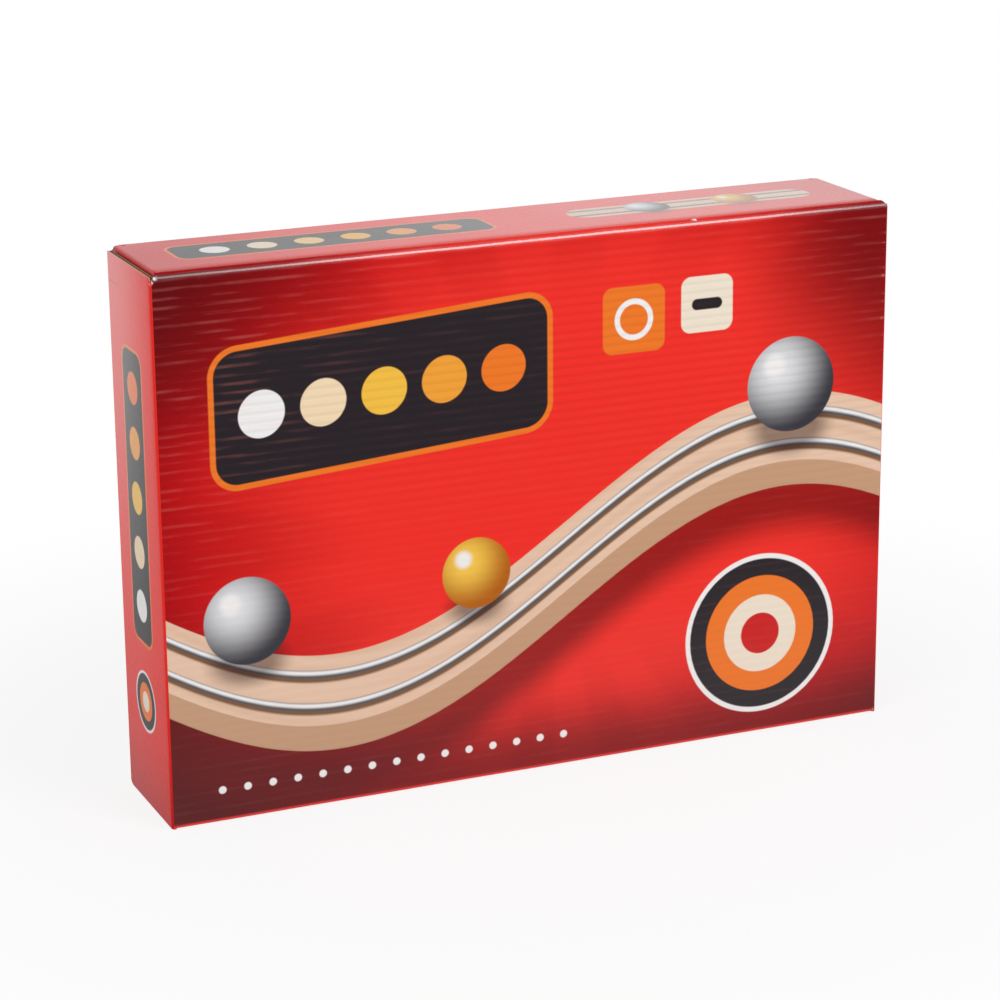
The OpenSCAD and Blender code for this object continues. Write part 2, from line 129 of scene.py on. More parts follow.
# %% Ink: a socket that can be used in sums
class Ink:
    """A shader socket. Sums of inks and numbers add Math nodes, and node() adds any other node."""

    def __init__(self, tree, socket=None):
        self.tree, self.socket = tree, socket

    def node(self, kind, settings=(), sockets=(), out=0):
        """Adds a node with its options and then its sockets, and gives back one of its outputs."""
        made = self.tree.nodes.new(kind)
        for key, value in dict(settings).items():
            setattr(made, key, value)
        for key, value in dict(sockets).items():
            if isinstance(value, Ink):
                self.tree.links.new(value.socket, made.inputs[key])
            else:
                made.inputs[key].default_value = value
        return Ink(self.tree, made.outputs[out] if made.outputs else None)

    def maths(self, operation, *values):
        """One Math node on inks and numbers."""
        return self.node("ShaderNodeMath", {"operation": operation}, enumerate(values))

    def __add__(self, other):
        return self.maths("ADD", self, other)

    def __sub__(self, other):
        return self.maths("SUBTRACT", self, other)

    def __rsub__(self, other):
        return self.maths("SUBTRACT", other, self)

    def __mul__(self, other):
        return self.maths("MULTIPLY", self, other)

    def __truediv__(self, other):
        return self.maths("DIVIDE", self, other)

    def __rtruediv__(self, other):
        return self.maths("DIVIDE", other, self)

    def __pow__(self, power):
        return self.maths("POWER", self, power)

    def __rpow__(self, base):
        return self.maths("POWER", base, self)

    def __neg__(self):
        return self.maths("MULTIPLY", self, -1.0)

    def __abs__(self):
        return self.maths("ABSOLUTE", self)

    __radd__, __rmul__ = __add__, __mul__

    def low(self, other):
        return self.maths("MINIMUM", self, other)

    def high(self, other):
        return self.maths("MAXIMUM", self, other)

    def sin(self):
        return self.maths("SINE", self)

    def cos(self):
        return self.maths("COSINE", self)

    def rise(self, low, high, top=1.0):
        """0 below low, top above high, with a soft S-shaped way between them."""
        return self.node("ShaderNodeMapRange", {"interpolation_type": "SMOOTHSTEP"},
                         {0: self, 1: low, 2: high, 3: 0.0, 4: top})

    def over(self, below, above):
        """The colour below with the colour above laid on it where this mask is 1."""
        colours = {6 + i: c if isinstance(c, Ink) else (*c, 1.0) for i, c in enumerate((below, above))}
        return self.node("ShaderNodeMix", {"data_type": "RGBA"}, {0: self, **colours}, out=2)

    def axes(self, *which):
        """Some of this vector's numbers: 0, 1 and 2 are its X, Y and Z."""
        return [self.node("ShaderNodeSeparateXYZ", {}, {0: self}, out=i) for i in which]

    def in_mm(self):
        """This vector, from metres to millimetres."""
        return self.node("ShaderNodeVectorMath", {"operation": "SCALE"}, {0: self, 3: 1 / MM})

    def noise(self, scale, detail=2.0, stretch=(1.0, 1.0, 1.0)):
        """Cloudy noise, 0 to 1, on this vector, with the vector stretched first."""
        at = self.node("ShaderNodeMapping", {}, {"Vector": self, "Scale": stretch})
        return self.node("ShaderNodeTexNoise", {}, {"Vector": at, "Scale": scale, "Detail": detail})

    def bump(self, strength, distance):
        """Small hollows and hills from this value, their height in metres."""
        return self.node("ShaderNodeBump", {}, {"Strength": strength, "Distance": distance, "Height": self})


print("shader sums ready")

# %% Finishes and the places that they read
def finish(name, **constants):
    """A new material with a Principled shader. Values that are alike all over are set on its sockets. It
    gives back an ink of its tree, and a function that links the values that vary."""
    material = bpy.data.materials.new(name)
    material.use_nodes = True
    tree = material.node_tree
    shader = tree.nodes["Principled BSDF"]
    for key, value in constants.items():
        shader.inputs[key.replace("_", " ")].default_value = value

    def feed(**inks):
        for key, ink in inks.items():
            tree.links.new(ink.socket, shader.inputs[key.replace("_", " ")])
        return material

    return Ink(tree), feed


def solid_place(ink):
    """The place in the frame in millimetres, from Object coordinates, for pieces that move as one."""
    return ink.node("ShaderNodeTexCoord", out="Object").in_mm()


def sheet_place(ink):
    """The flat place on the carton's sheet in millimetres, from the UV map that each board carries."""
    return ink.node("ShaderNodeUVMap", {"uv_map": "sheet"}).in_mm()


print("finishes read the solid's place or the sheet's place")

# %% [markdown]
# ## Floor, backdrop and light
# The photograph is a plain studio shot on white. A white floor would turn grey where little light falls, so
# away from the carton the floor simply glows white for the camera and for reflections, and close to the
# carton it is more of a plain white surface that takes the soft shadow. Big soft lamps keep the print's
# colours about as they are written.

# %% Floor
FLOOR_Z, FLOOR_REACH = -0.15, 6000.0
GLOW_NEAR, SHADOW_REACH, WHITE_FROM = 0.84, 160.0, 400.0


def emptied(owner):
    """An ink of a material's or a world's node tree, with all its nodes taken out."""
    owner.use_nodes = True
    owner.node_tree.nodes.clear()
    return Ink(owner.node_tree)


def seen_directly(ink):
    """1 where the camera looks, straight or by way of metal and glass, and 0 for the light on things."""
    kinds = ("Is Camera Ray", "Is Glossy Ray", "Is Transmission Ray")
    straight, mirrored, through = (ink.node("ShaderNodeLightPath", out=kind) for kind in kinds)
    return straight.high(mirrored).high(through)


corners = np.array([(-1, -1, 0), (1, -1, 0), (1, 1, 0), (-1, 1, 0)]) * FLOOR_REACH + (0, 0, FLOOR_Z)
floor_mesh = bpy.data.meshes.new("studio_floor")
floor_mesh.from_pydata((corners * MM).tolist(), [], [(0, 1, 2, 3)])
floor = put_in_scene("studio_floor", floor_mesh)
floor_paint = bpy.data.materials.new("white_floor")
ink = emptied(floor_paint)
apart = ink.node("ShaderNodeVectorMath", {"operation": "LENGTH"}, {0: solid_place(ink)}, out="Value")
far = GLOW_NEAR + apart.rise(SHADOW_REACH, WHITE_FROM, 1 - GLOW_NEAR)
matt = ink.node("ShaderNodeBsdfDiffuse", {}, {"Color": (0.93, 0.93, 0.93, 1.0)})
glow = ink.node("ShaderNodeEmission", {}, {"Color": (1.0, 1.0, 1.0, 1.0), "Strength": 1.0})
mixed = ink.node("ShaderNodeMixShader", {}, {0: seen_directly(ink) * far, 1: matt, 2: glow})
ink.node("ShaderNodeOutputMaterial", {}, {"Surface": mixed})
floor_mesh.materials.append(floor_paint)
floor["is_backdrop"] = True
print("floor ready")

# %% World and lamps
ROOM_LIGHT = 0.45
LAMP_AIM = np.array([0.0, 0.0, 0.1])


def soft_lamp(name, at, size, watts):
    """A square area lamp that faces the carton's middle: its back points away from there."""
    lamp = bpy.data.lights.new(name, "AREA")
    lamp.size, lamp.energy = size, watts
    back = np.array(at) - LAMP_AIM
    back /= np.linalg.norm(back)
    turn_to(put_in_scene(name, lamp), *level_axes(back), back, at)


world = bpy.data.worlds.new("white_studio")
ink = emptied(world)
strength = ROOM_LIGHT + (1 - ROOM_LIGHT) * seen_directly(ink)
backdrop = ink.node("ShaderNodeBackground", {}, {"Color": (1.0, 1.0, 1.0, 1.0), "Strength": strength})
ink.node("ShaderNodeOutputWorld", {}, {"Surface": backdrop})
bpy.context.scene.world = world
soft_lamp("front_softbox", (0.75, -1.45, 1.15), 0.9, 14.0)
soft_lamp("left_softbox", (-1.4, -0.9, 1.4), 1.1, 10.0)
print("world and two soft lamps ready")

# %% [markdown]
# ## The sheet laid flat
# A carton is printed and creased as one flat sheet. Its places are easiest to give on that sheet, so u runs
# along the carton's width and v goes once round it from the bottom's back edge: the bottom, the front, the
# top and the back, with a round fold after each. The places where v passes from flat to fold are the knots,
# and every other measure of the sheet hangs on them.

# %% Measures of the sheet
PITCH, BOARD, FOLD = 3.39, 1.6, 2.4
HALF_W, HALF_D, HEIGHT = 150.0, 27.5, 212.0
Y_IN, Z_IN = HALF_D - FOLD, HEIGHT - FOLD
NARROW, HIGH, ARC = 2 * Y_IN, HEIGHT - 2 * FOLD, FOLD * np.pi / 2
KNOTS = np.cumsum([0, NARROW, ARC, HIGH, ARC, NARROW, ARC, HIGH, ARC])
FOLD_MIDS = (KNOTS[1:-1:2] + KNOTS[2::2]) / 2
FRONT_V, TOP_V, BACK_V, BOTTOM_V = KNOTS[2] - FOLD, KNOTS[4] + Y_IN, KNOTS[6] + Z_IN, Y_IN
print(f"the sheet is {KNOTS[-1]:.1f} mm round, with {KNOTS[-1] / PITCH:.0f} flutes")

# %% [markdown]
# ## Corrugated board as two skins
# Corrugated board is two paper liners with a wavy paper between them. Outside, the waves show through the
# print as faint ripples. Each board here is a pair of grids, the outer and the inner liner, whose rims are
# closed with the raw cut edge. A solid block with a bump map would be quicker, but real ripples bend the
# highlights along the folds, which is what makes such a carton look like board and not like plastic.

# %% Ripples and paths
WAVE = 2 * np.pi / PITCH
STEP = PITCH / 8
TALL, CALM = 0.038, 0.006


def ripple(v, depth):
    """Depth times the cosine of the place across the flutes: one wave each flute pitch. The ripples are
    plain to see on the tall panels and hardly on the narrow ones."""
    return depth * np.cos(WAVE * v)


def wander(v, lengths, seed):
    """A slow uneven wave, -1 to 1: the mean of three sines of the given lengths with seeded starts."""
    starts = np.random.default_rng(seed).uniform(0, 2 * np.pi, 3)
    return np.mean([np.sin(2 * np.pi * v / long + start) for long, start in zip(lengths, starts)], axis=0)


def run_along(path):
    """How far each point of a path lies from its start: the sum of the steps up to it."""
    return np.concatenate([[0], np.cumsum(np.linalg.norm(np.diff(path, axis=0), axis=1))])


def strips(flat):
    """Each strip of faces lies between two rows: the places on its first and on its second row."""
    return np.stack([flat[:-1], flat[1:]], 1)


print("ripples", TALL, "mm deep on the tall panels,", CALM, "mm on the others")

# %% Faces of a board
def board_faces(outer, flat, kind, finish_count, joined):
    """Faces with their flat places and finishes: each cell of the outer grid, the same cells turned over for
    the inner liner, and a strip round each open rim, laid flat as the way along it by the thickness."""
    rows, columns = outer.shape[:2]
    under = rows * columns
    index = np.arange(under).reshape(rows, columns)
    index = np.vstack([index, index[:1]]) if joined else index
    skin = np.stack([index[:-1, :-1], index[1:, :-1], index[1:, 1:], index[:-1, 1:]], -1).reshape(-1, 4)
    place = [flat[:, 0, :-1], flat[:, 1, :-1], flat[:, 1, 1:], flat[:, 0, 1:]]
    place = np.stack(place, -2).reshape(-1, 4, 2)
    liner, across, along = range(finish_count - 3, finish_count)
    made = [(skin, place, np.repeat(kind, columns - 1)),
            (skin[:, ::-1] + under, place[:, ::-1], np.full(len(skin), liner))]
    sides = across if joined else along
    rims = [(index[::-1, 0], sides), (index[:, -1], sides)]
    rims += [] if joined else [(index[0], across), (index[-1, ::-1], across)]
    for line, slot in rims:
        a, b, run = line[:-1], line[1:], run_along(outer.reshape(-1, 3)[line])
        way = np.stack([run[:-1], run[1:], run[1:], run[:-1]], -1)
        through = np.broadcast_to([0.0, 0.0, BOARD, BOARD], way.shape)
        made.append((np.stack([a, b, b + under, a + under], -1), np.stack([way, through], -1),
                     np.full(len(a), slot)))
    return [np.concatenate(parts) for parts in zip(*made)]


print("a board's faces: two liners and their rims")

# %% The two-skinned board
SHARP = np.radians(38)


def board(name, outer, inner, flat, finishes, kind, joined=False):
    """A closed mesh from two grids of millimetre points, rows by columns, and the rims between them.
    flat gives each strip's places on the flat sheet and kind its finish; the last three finishes are the
    inner liner, the edge cut across the flutes and the edge cut along them. joined closes the rows into
    a ring."""
    faces, places, slots = board_faces(outer, flat, kind, len(finishes), joined)
    points = np.concatenate([outer.reshape(-1, 3), inner.reshape(-1, 3)]) * MM
    # The room inside is a sum of pyramids from the origin. It is negative where the faces point inwards.
    a, b, c, d = (points[faces[:, i]] for i in range(4))
    room = np.einsum("ij,ij", a, np.cross(b, c) + np.cross(c, d)) / 6
    if room < 0:
        faces, places = faces[:, ::-1], places[:, ::-1]
    mesh = bpy.data.meshes.new(name)
    mesh.from_pydata(points.tolist(), [], faces.tolist())
    mesh.uv_layers.new(name="sheet").uv.foreach_set("vector", (places * MM).astype(np.float32).ravel())
    for material in finishes:
        mesh.materials.append(material)
    mesh.polygons.foreach_set("material_index", slots.astype(np.int32))
    mesh.polygons.foreach_set("use_smooth", np.ones(len(faces), bool))
    mesh.set_sharp_from_angle(angle=SHARP)
    mesh.update()
    print(f"{name}: {len(faces)} faces, {abs(room) * 1e6:.2f} cm3 of board")
    return put_in_scene(name, mesh)


print("boards can be made")

# %% [markdown]
# ## Shapes for the print
# The print is a plain design: a red glow, a curved wooden track on two steel rails, marbles, rings, discs
# and dark rounded plates. An image would need a file and would blur close up. Here each shape is a formula
# for the distance to it, worked out in the shader, because a distance gives a sharp edge at any size.

# %% Distances and masks
def away(x, y, cx, cy):
    """Distance to a point: the root of the sum of the two squares."""
    return ((x - cx) * (x - cx) + (y - cy) * (y - cy)) ** 0.5


def disc(x, y, cx, cy, radius):
    """Distance to a circle: how far the point is from the middle, less the radius."""
    return away(x, y, cx, cy) - radius


def plate(x, y, cx, cy, half_x, half_y, radius):
    """Distance to a rounded rectangle: the distance to its inner rectangle, less the corner radius."""
    dx = (abs(x - cx) - (half_x - radius)).high(0.0)
    dy = (abs(y - cy) - (half_y - radius)).high(0.0)
    return (dx * dx + dy * dy) ** 0.5 - radius


def inside(distance, soft=0.3):
    """A mask that is 1 where a distance is below zero, with a soft edge."""
    return 1 - distance.rise(-soft, soft)


def rubbed(x, y, cx, cy, near, far):
    """A mask that is 1 near a point and fades to 0 further away, as where a corner is rubbed."""
    return 1 - away(x, y, cx, cy).rise(near, far)


print("distances ready")

# %% Printed shapes
RED, BRIGHT_RED, MAROON = (0.52, 0.003, 0.006), (0.88, 0.030, 0.021), (0.10, 0.001, 0.003)
CHARCOAL, CREAM, WHITE = (0.022, 0.016, 0.020), (0.86, 0.76, 0.62), (0.88, 0.87, 0.86)
ORANGE, YELLOW, STEEL = (0.86, 0.19, 0.02), (0.90, 0.52, 0.06), (0.45, 0.46, 0.48)
BEECH, BEECH_GRAIN, BEECH_SIDE = (0.80, 0.56, 0.41), (0.68, 0.43, 0.29), (0.56, 0.33, 0.20)
RAIL_DARK, RAIL_SHADOW, BALL_SHADOW = (0.10, 0.10, 0.11), (0.20, 0.10, 0.05), (0.03, 0.004, 0.004)
STEEL_BALL = (0.04, 0.04, 0.05), (0.75, 0.76, 0.78)
AMBER_BALL = (0.45, 0.12, 0.005), (0.92, 0.58, 0.08)
SQUASH = 1.6


def marble(picture, x, y, cx, cy, radius, dark, light):
    """A printed ball: a flat shadow under it, dark at its rim and light to the upper left, with a glint."""
    shadow = -disc(x, y * SQUASH, cx, cy * SQUASH - radius * 1.5, radius)
    picture = shadow.rise(-3, 9, 0.65).over(picture, BALL_SHADOW)
    shade = away(x, y, cx - 0.3 * radius, cy + 0.35 * radius).rise(0.1 * radius, 1.35 * radius)
    glint = away(x, y, cx - 0.38 * radius, cy + 0.42 * radius).rise(0.12 * radius, 0.34 * radius)
    ball = glint.over(WHITE, shade.over(light, dark))
    return inside(disc(x, y, cx, cy, radius)).over(picture, ball)


def track(picture, x, y, level, swing, length, shift):
    """A printed wooden track along a sine curve: its shadow, a darker side, a pale face, two steel rails."""
    off = y - (level + swing * ((x - shift) / length).sin())
    shadow = 0.7 - abs(off + 26).rise(6, 24, 0.7)
    grain = ((x * 0.06 + off * 0.9).sin() * 0.5 + 0.5) * ((x * 0.013 - off * 0.31).sin() * 0.5 + 0.5)
    face = (grain * 0.45).over(BEECH, BEECH_GRAIN)
    picture = shadow.over(picture, MAROON)
    picture = inside(abs(off + 18) - 6.0).over(picture, BEECH_SIDE)
    picture = inside(abs(off) - 14.0).over(picture, face)
    for rail in (-6.5, 6.5):
        steel = abs(off - rail - 0.5).rise(0.1, 1.5).over(WHITE, RAIL_DARK)
        picture = inside(abs(off - rail + 1.4) - 1.9, 0.7).over(picture, RAIL_SHADOW)
        picture = inside(abs(off - rail) - 1.6).over(picture, steel)
    return picture


def row_of_discs(picture, x, y, first, step, count, cy, radius):
    """A row of plain discs that run from white through yellow to orange."""
    for i in range(count):
        tone = [float(np.interp(i / (count - 1), [0, 0.5, 1], stops)) for stops in zip(WHITE, YELLOW, ORANGE)]
        picture = inside(disc(x, y, first + step * i, cy, radius)).over(picture, tone)
    return picture


def rings(picture, x, y, cx, cy, radii, tones):
    """Rings round one middle, the largest first."""
    reach = away(x, y, cx, cy)
    for radius, tone in zip(radii, tones):
        picture = inside(reach - radius).over(picture, tone)
    return picture


def dark_plate(picture, edge, border):
    """A charcoal plate where the distance to its edge is below zero, with an orange border round it."""
    picture = inside(edge - border).over(picture, ORANGE)
    return inside(edge).over(picture, CHARCOAL)


print("marbles, track, discs, rings and plates ready")

# %% [markdown]
# ## Red ink under varnish
# The print goes on before the board is creased, so the ripples bend it only a little: on bright red they
# hardly show. Painted highlight streaks along the flutes, strongest in the dark upper corners, and painted
# shade in the valleys between them stand in for the light that the ripples catch. The varnish is a clear
# coat. Seen flat on, as on the front, it leaves the red deep, and seen at a low angle, as on the top and the
# ends, it mirrors the white room and the red turns pale. Along the upper front fold the creasing burnishes it
# to a bright line. A varying coat weight gives all three, where one even gloss would wash out the front as
# well. At rubbed corners the white coated paper shows.

# %% The red ink and its varnish
BLACK, FLUTE_HIGHLIGHT = (0.0, 0.0, 0.0), (0.80, 0.24, 0.21)
FOLD_LIGHT, WEAR = KNOTS[3] + 0.95, 1.5


def varnished(name, design):
    """A printed and varnished face. design gets the sheet place and returns the picture and four masks:
    how much painted shade darkens the valleys between the flutes, worn places, painted highlight streaks on
    the flutes, and the coat."""
    ink, feed = finish(name, Specular_IOR_Level=0.03, Coat_IOR=1.9, Coat_Roughness=0.16)
    flat = sheet_place(ink)
    u, v = flat.axes(0, 1)
    colour, valley_shade, worn, highlight_streaks, coat = design(flat, u, v)
    fibre, mottle = flat.noise(0.9, 4.0), flat.noise(0.05, 3.0)
    crest = (v * WAVE).cos()
    # Painted shade: the valleys between the flutes darken towards black.
    colour = ((1 - crest.rise(-1.0, 0.2)) * valley_shade).over(colour, BLACK)
    # Painted highlight: pale streaks along the flute crests, broken up by long noise.
    long_light = flat.noise(0.10, 3.0, (0.45, 3.0, 1.0)).rise(0.42, 0.72) * crest.rise(0.0, 1.0)
    colour = (long_light * highlight_streaks).over(colour, FLUTE_HIGHLIGHT)
    scuff = (flat.noise(0.35, 6.0).rise(0.52, 0.62) * worn).low(1.0)
    colour = scuff.over(colour, WHITE)
    rough = 0.22 + 0.10 * mottle + 0.35 * scuff
    clear = (coat * (1 - scuff)).low(1.0)
    return feed(Base_Color=colour, Roughness=rough, Coat_Weight=clear, Normal=fibre.bump(0.02, 0.00004))


def burnished(flat, u, v, middle):
    """A narrow band along a fold that wanders a little to and fro and is dimmer near its ends."""
    sway = flat.noise(0.055, 3.0, (1.0, 0.0, 1.0)) * 1.5 - 0.75
    return (0.9 - abs(u - 10).rise(50, 150, 0.42)) * (1 - abs(v - middle - sway).rise(0.50, 1.50))


print("varnish ready")

# %% [markdown]
# ## The front and the top
# The front carries the whole design and the top a short form of it. Each face is a function of the flat
# place on the sheet, in millimetres from the face's own middle or foot, and its shapes are laid one over the
# other like cut paper. Another design could take their place without a change to the board.

# %% Front
RAY_RED, TARGET_RED = (0.42, 0.004, 0.006), (0.6, 0.01, 0.01)


def front_design(flat, u, v):
    """A glow with rays that darkens outwards, a track with marbles, rings, a leaning plate, two signs and a
    row of beads. Towards the top the flutes get painted highlight streaks and painted shade in their valleys,
    with painted highlight ticks by the right fold. The lower fold is painted bright red as a highlight, and
    the coat at the foot mirrors the floor."""
    x, z = u, v - FRONT_V
    glow = away(x / 1.35, z, 20.0, 118.0)
    rays = (x.maths("ARCTAN2", x - 6, z - 96) * 16).sin().rise(-0.5, 0.5)
    picture = glow.rise(72, 138).over(BRIGHT_RED, RED)
    picture = (rays * glow.rise(60, 125) * 0.30).over(picture, RAY_RED)
    picture = glow.rise(116, 168).over(picture, MAROON)
    picture = (0.65 - z.rise(4, 34, 0.65)).over(picture, MAROON)
    picture = (0.75 - away(x, z, 172, 205).rise(30, 100, 0.75)).over(picture, MAROON)
    picture = (0.60 - away(x, z, -150, 225).rise(30, 100, 0.60)).over(picture, MAROON)
    picture = track(picture, x, z, 86.0, 40.0, 60.0, 12.0)
    target_tones = (WHITE, CHARCOAL, ORANGE, CREAM, TARGET_RED)
    picture = rings(picture, x, z, 96, 42, (33, 31, 24, 16, 8.5), target_tones)
    lean = z - 0.07 * x
    picture = dark_plate(picture, plate(x, lean, -62, 164, 66, 25, 9), 2.2)
    picture = row_of_discs(picture, x, lean, -110, 24, 5, 164, 9)
    picture = marble(picture, x, z, -118, 78, 17, *STEEL_BALL)
    picture = marble(picture, x, z, -26, 84, 14, *AMBER_BALL)
    picture = marble(picture, x, z, 108, 143, 19, *STEEL_BALL)
    picture = inside(plate(x, z, 40, 176, 13, 13, 4)).over(picture, ORANGE)
    picture = inside(abs(disc(x, z, 40, 176, 7)) - 1.1).over(picture, WHITE)
    picture = inside(plate(x, z, 71, 179, 11, 11, 4)).over(picture, CREAM)
    picture = inside(plate(x, z, 71, 179, 6.5, 2.2, 2.2)).over(picture, CHARCOAL)
    beads = disc(x.maths("PINGPONG", x, 5.0), z, 0, 13, 1.5)
    picture = (inside(beads) * inside(abs(x + 60) - 77)).over(picture, WHITE)
    # Painted highlight: the lower front fold is painted bright red.
    picture = (1 - z.rise(1.0, 2.3)).over(picture, BRIGHT_RED)
    # Painted shade in the flute valleys, deeper in the upper part.
    valley_shade = 0.012 + z.rise(80, 150, 0.058)
    worn = rubbed(x, z, -HALF_W, HEIGHT - 1.5, 1.0, 3.2) * WEAR
    # Painted highlight ticks on the crushed flutes by the right fold, in the upper part.
    crushed_flute_highlight = (1 - abs(x - 148.4).rise(0.3, 1.4)) * flat.noise(0.25, 3.0).rise(0.40, 0.65) * z.rise(90, 150)
    # Painted highlight streaks on the flutes, in the upper part and away from the glow.
    highlight_streaks = glow.rise(80, 130, 0.15) * z.rise(60, 150) + 0.03 + crushed_flute_highlight * 0.5
    coat = burnished(flat, u, v, FOLD_LIGHT).high(0.22 - z.rise(10, 100, 0.19))
    return picture, valley_shade, worn, highlight_streaks, coat


print("front design ready")

# %% Top
TOP_EDGE_SHADE_RED, TOP_RAIL = (0.34, 0.002, 0.005), (0.20, 0.18, 0.18)


def top_design(flat, u, v):
    """A plate with discs on the left and a straight track with two marbles on the right, and a strip of
    painted shade in dark red along the front fold. The coat is stronger away from the front fold and towards
    the right."""
    x, y = u, v - TOP_V
    picture = abs(x - 10).rise(50, 220).over(BRIGHT_RED, RED)
    # Painted shade: a darker red strip along the front fold, wider towards the right.
    picture = ((1 - y.rise(-26, -23)) * abs(x - 20).rise(20, 150)).over(picture, TOP_EDGE_SHADE_RED)
    picture = dark_plate(picture, plate(x, y, -70, 2, 62, 11, 5), 1.2)
    picture = row_of_discs(picture, x, y, -116, 18.4, 6, 2, 5.6)
    stripe = inside(plate(x, y, 78, 2, 52, 8, 8))
    picture = stripe.over(picture, BEECH)
    for rail in (-2.0, 6.0):
        picture = (stripe * inside(abs(y - rail) - 1.1)).over(picture, TOP_RAIL)
    picture = marble(picture, x, y, 60, 3, 9, *STEEL_BALL)
    picture = marble(picture, x, y, 98, 3, 9, *AMBER_BALL)
    corner = rubbed(x, y, -HALF_W, -28.5, 1.0, 3.2)
    spot = rubbed(x / 2, y, 33.5, -26.0, 0.3, 1.4)
    coat = burnished(flat, u, v, FOLD_LIGHT).high(y.rise(-25.5, -18.0) * (0.40 + x.rise(-150, 100, 0.36)))
    # Returns 0.02 of painted shade in the flute valleys and 0.04 of painted highlight streaks.
    return picture, 0.02, (corner + spot) * WEAR, 0.04, coat


print("top design ready")

# %% [markdown]
# ## The ends, the back and the bottom
# The ends repeat the plate and the rings on edge. The photograph doesn't show the back and the bottom, so
# they are guesses: four picture steps and some marbles on the back, and an empty pale field below. They use
# the same shapes, which keeps the print of one hand all round.

# %% Ends
FOOT_RED, CREASE_SHADE_RED = (0.24, 0.004, 0.006), (0.30, 0.01, 0.01)


def end_design(flat, u, v):
    """A plate with discs and a set of rings below it, and painted shade for a faint crease near the head. The
    coat grows towards the head and the back edge and stops at the front fold."""
    y, z = u, v - FRONT_V
    picture = abs(z - 130).rise(50, 200).over(BRIGHT_RED, RED)
    picture = (0.25 - z.rise(0, 30, 0.25)).over(picture, FOOT_RED)
    picture = dark_plate(picture, plate(y, z, 0, 122, 11, 56, 5), 1.2)
    picture = row_of_discs(picture, z, y, 80, 21, 5, 0, 6.2)
    picture = rings(picture, y, z, 0, 42, (12, 11, 7.5, 4), (WHITE, CHARCOAL, ORANGE, CREAM))
    # Painted shade for a faint crease near the head: the board has no dent there.
    crease = (1 - abs(z - HEIGHT + 13 - 0.04 * y).rise(0.15, 0.55)) * y.rise(6, 16)
    picture = (crease * 0.5).over(picture, CREASE_SHADE_RED)
    head = rubbed(y, z, -28.0, HEIGHT - 1.5, 1.0, 3.5)
    foot = rubbed(y, z, -28.0, 1.5, 0.5, 2.5)
    coat = (0.13 + z.rise(40, 215, 0.70)) * y.rise(-44.0, 24.0) * y.rise(-27.0, -22.0)
    # Returns 0.015 of painted shade in the flute valleys and no painted highlight streaks.
    return picture, 0.015, (head + foot) * WEAR, 0.0, coat


print("end design ready")

# %% Back and bottom
BOTTOM_RED = (0.40, 0.004, 0.006)


def step_frame(picture, x, z, cx, cz):
    """One square of the picture steps on the back: a pale square with a dark outline."""
    edge = plate(x, z, cx, cz, 32, 32, 5)
    picture = inside(edge).over(picture, WHITE)
    return inside(abs(edge) - 0.5).over(picture, CHARCOAL)


def back_design(flat, u, v):
    """Four steps on a pale field: the board with its cups, a plate, the two rods and a cup from above.
    Beside them are three marbles and a row of discs."""
    x, z = -u, BACK_V - v
    glow = away(x / 1.35, z, 50.0, 104.0)
    picture = glow.rise(50, 130).over(BRIGHT_RED, RED)
    picture = glow.rise(112, 175).over(picture, MAROON)
    picture = inside(plate(x, z, -58, 106, 80, 82, 8)).over(picture, CREAM)
    for cx, cz in ((-96, 146), (-20, 146), (-96, 66), (-20, 66)):
        picture = step_frame(picture, x, z, cx, cz)
    picture = inside(plate(x, z, -96, 146, 24, 7, 1.5)).over(picture, BEECH)
    for i in range(5):
        picture = inside(disc(x, z, -114 + 9 * i, 146, 3)).over(picture, BEECH_SIDE)
    picture = inside(plate(x, z, -20, 146, 10, 22, 3)).over(picture, BEECH)
    picture = inside(plate(x, z, -20, 150, 6.5, 2.5, 2.5)).over(picture, CHARCOAL)
    for lean in (-0.16, 0.16):
        bar = abs(z - 66 - lean * (x + 118)) - 1.3
        picture = (inside(bar) * inside(abs(x + 96) - 24)).over(picture, STEEL)
    picture = rings(picture, x, z, -20, 66, (20, 15, 9), (ORANGE, WHITE, STEEL))
    picture = marble(picture, x, z, 62, 152, 21, *STEEL_BALL)
    picture = marble(picture, x, z, 104, 112, 17, *AMBER_BALL)
    picture = marble(picture, x, z, 66, 76, 13, *STEEL_BALL)
    picture = row_of_discs(picture, x, z, 52, 16, 5, 32, 5)
    worn = rubbed(abs(x), z, 149.0, HEIGHT - 1.0, 0.5, 3.0) * WEAR
    # Returns 0.07 of painted shade in the flute valleys and 0.08 of painted highlight streaks.
    return picture, 0.07, worn, 0.08, burnished(flat, u, v, KNOTS[5] + 1.9)


def bottom_design(flat, u, v):
    """Plain red with a pale field on the right, a painted highlight in bright red along the front fold, and
    rubbed along both.
    """
    x, y = u, BOTTOM_V - v
    picture = abs(x).rise(20, 160).over(RED, BOTTOM_RED)
    picture = inside(plate(x, y, 84, 0, 48, 14, 3)).over(picture, CREAM)
    # Painted highlight: the front fold is painted bright red.
    picture = (1 - y.rise(-26, -24)).over(picture, BRIGHT_RED)
    # Returns 0.05 of painted shade in the flute valleys and 0.05 of painted highlight streaks.
    return picture, 0.05, abs(y).rise(25.5, 27.5, 0.35), 0.05, y.rise(-24, -10, 0.3)


DESIGNS = dict(front=front_design, top=top_design, back=back_design, bottom=bottom_design, end=end_design)
PRINTS = {name: varnished(f"varnished_{name}_print", design) for name, design in DESIGNS.items()}
print("prints:", ", ".join(PRINTS))

